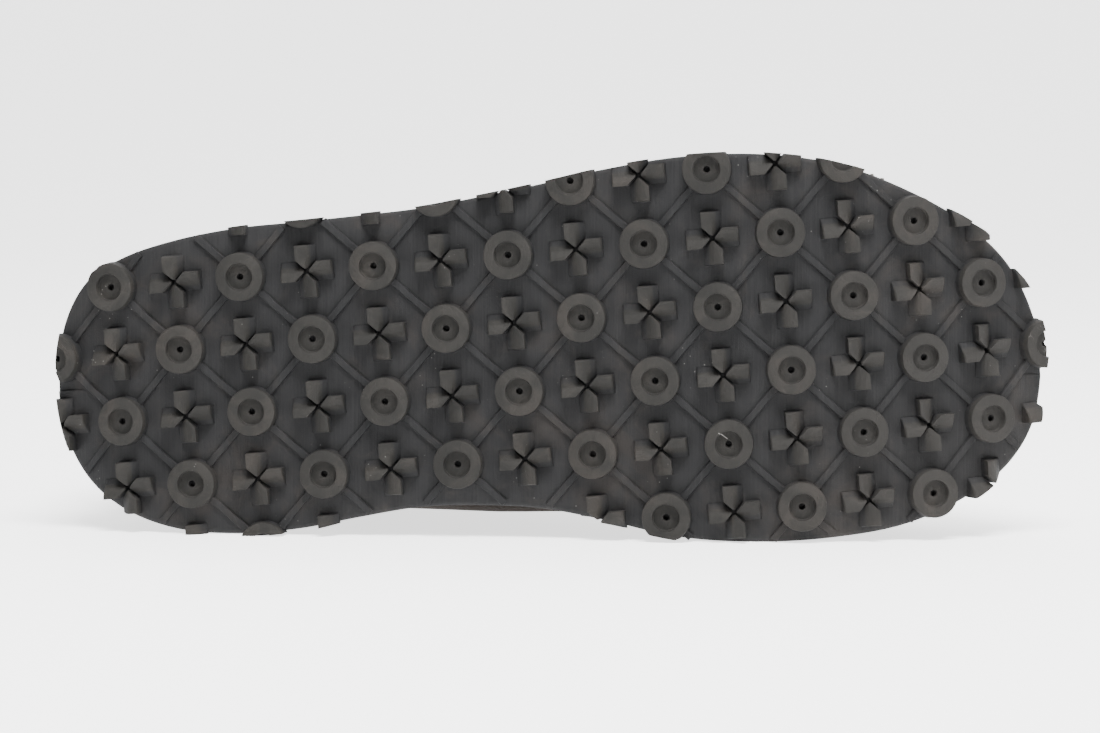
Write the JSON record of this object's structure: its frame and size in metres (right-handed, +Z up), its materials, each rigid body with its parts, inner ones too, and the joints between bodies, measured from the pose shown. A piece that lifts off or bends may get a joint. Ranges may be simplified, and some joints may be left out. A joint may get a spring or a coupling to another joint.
{
  "type": "wading boot",
  "caption": "Laced wading boot for the right foot, padded collar and toe cap, rubber sole with ring and cross lugs, lying on its side",
  "frame": {"origin": "on the floor under the middle of the whole boot as it lies on its medial side", "axes": "X from the heel to the toe, Y from the tread towards the collar, Z up from the floor to the lateral side"},
  "size_m": [0.3316, 0.2396, 0.1257],
  "materials": {
    "tread_rubber": "matte",
    "midsole_foam": "matte",
    "brown_hide": "matte",
    "cap_rubber": "matte",
    "stay_hide": "matte",
    "padding": "matte",
    "lining": "matte",
    "hook_metal": "satin",
    "cord": "matte"
  },
  "bodies": {
    "root": {"collar_cuff": "padding", "eyelet_lateral_1": "hook_metal", "eyelet_lateral_2": "hook_metal", "eyelet_lateral_3": "hook_metal", "eyelet_lateral_4": "hook_metal", "eyelet_medial_1": "hook_metal", "eyelet_medial_2": "hook_metal", "eyelet_medial_3": "hook_metal", "eyelet_medial_4": "hook_metal", "eyestay": "stay_hide", "heel_counter": "cap_rubber", "hook_lateral_1": "hook_metal", "hook_lateral_2": "hook_metal", "hook_lateral_3": "hook_metal", "hook_medial_1": "hook_metal", "hook_medial_2": "hook_metal", "hook_medial_3": "hook_metal", "insole": "lining", "lace_bar": "cord", "lace_crossing_1": "cord", "lace_crossing_2": "cord", "lace_crossing_3": "cord", "lace_crossing_4": "cord", "lace_crossing_5": "cord", "lace_crossing_6": "cord", "midsole": "midsole_foam", "outsole": "tread_rubber", "pull_tab": "cord", "toe_cap": "cap_rubber", "tongue": "padding", "upper": "brown_hide"}
  },
  "joints": []
}
